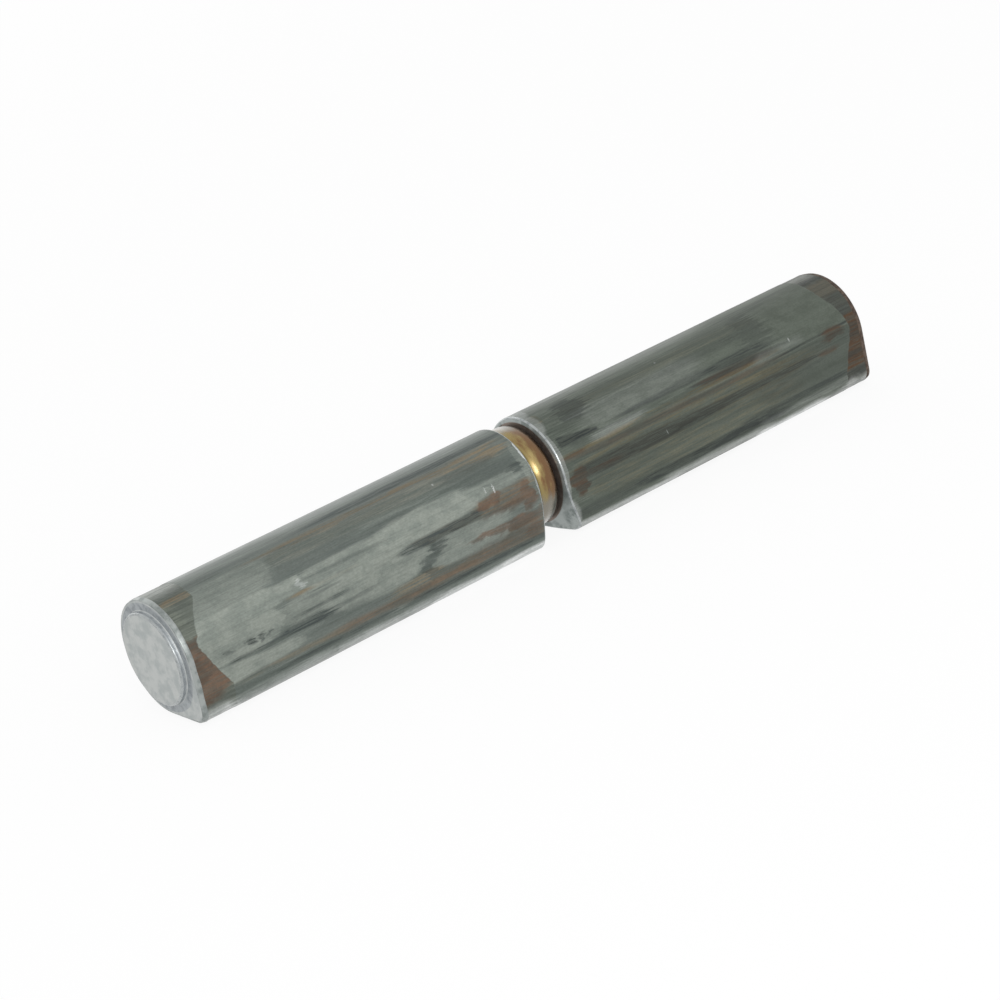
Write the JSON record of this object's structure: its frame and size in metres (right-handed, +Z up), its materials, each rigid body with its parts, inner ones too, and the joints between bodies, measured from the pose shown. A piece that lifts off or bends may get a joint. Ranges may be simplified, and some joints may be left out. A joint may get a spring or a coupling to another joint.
{
  "type": "weld-on barrel hinge",
  "caption": "Lift-off weld-on barrel hinge: drop-section steel knuckles with closed coined ends, a pressed-in pin and a brass thrust washer, lying slightly parted.",
  "frame": {"origin": "middle of the hinge's footprint, on the surface it lies on", "axes": "+X along the hinge axis from the lower to the upper knuckle, +Z up from the flank it lies on, -Y towards the weld corner"},
  "size_m": [0.1508, 0.02, 0.02],
  "materials": {
    "lower_knuckle_steel": "cold-drawn steel, dark oiled scale with brown rust streaks and lighter wiped patches, bright coined end",
    "upper_knuckle_steel": "cold-drawn steel, dark oiled scale with brown rust streaks",
    "ground_pin_steel": "plain ground bright steel",
    "washer_brass": "turned brass, tarnished"
  },
  "bodies": {
    "lower_half": {"lower_knuckle": "lower_knuckle_steel", "hinge_pin": "ground_pin_steel"},
    "washer": {"thrust_washer": "washer_brass"},
    "upper_half": {"upper_knuckle": "upper_knuckle_steel"}
  },
  "joints": [
    {"name": "hinge_turn", "type": "hinge", "parent": "lower_half", "child": "washer", "pos_m": [0, 0, 0.01], "axis": [1, 0, 0], "continuous": true},
    {"name": "lift_off", "type": "slide", "parent": "washer", "child": "upper_half", "axis": [1, 0, 0], "range_m": [-0.00065, 0.048]}
  ]
}
